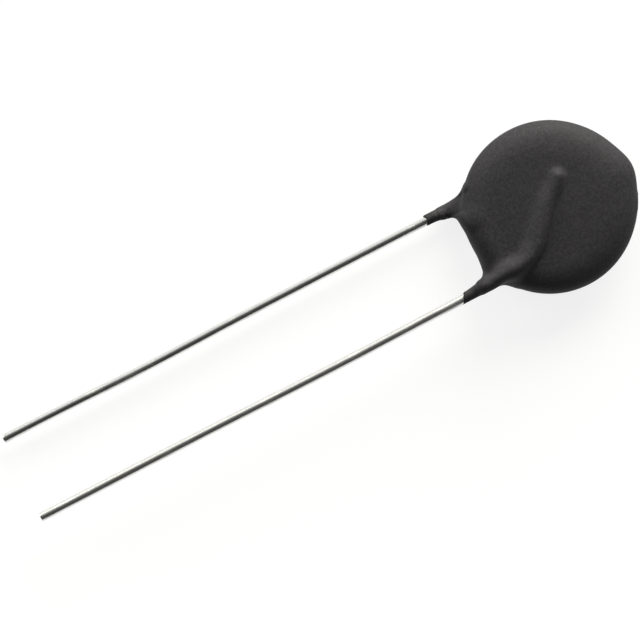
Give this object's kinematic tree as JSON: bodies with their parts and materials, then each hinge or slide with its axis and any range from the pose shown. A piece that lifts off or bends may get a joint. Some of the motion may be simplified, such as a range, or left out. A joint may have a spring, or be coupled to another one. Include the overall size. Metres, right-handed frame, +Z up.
{
  "type": "ntc thermistor",
  "caption": "Radial leaded disc thermistor dipped in matte black coating, with straight tinned wires that leave the same side for through-hole mounting.",
  "frame": {"origin": "on the surface that the thermistor lies on, under the middle of its bounding box, with the disc's centre at x 21.4 mm, y 0, z 2.6 mm", "axes": "+X from the leads' free ends towards the disc and along both leads, +Y from the front lead towards the rear lead, +Z up out of the disc's front face"},
  "size_m": [0.0588, 0.015, 0.0052],
  "materials": {
    "sintered_ceramic": "matt sintered metal oxide",
    "fired_silver": "dull fired silver paste",
    "solder": "satin reflowed solder",
    "tinned_wire": "bright drawn tinned copper",
    "black_coating": "matte dipped resin with a fine grain"
  },
  "bodies": {
    "root": {"ceramic_disc": "sintered_ceramic", "front_electrode": "fired_silver", "rear_electrode": "fired_silver", "front_solder": "solder", "rear_solder": "solder", "front_lead": "tinned_wire", "rear_lead": "tinned_wire", "coating": "black_coating"}
  },
  "joints": []
}
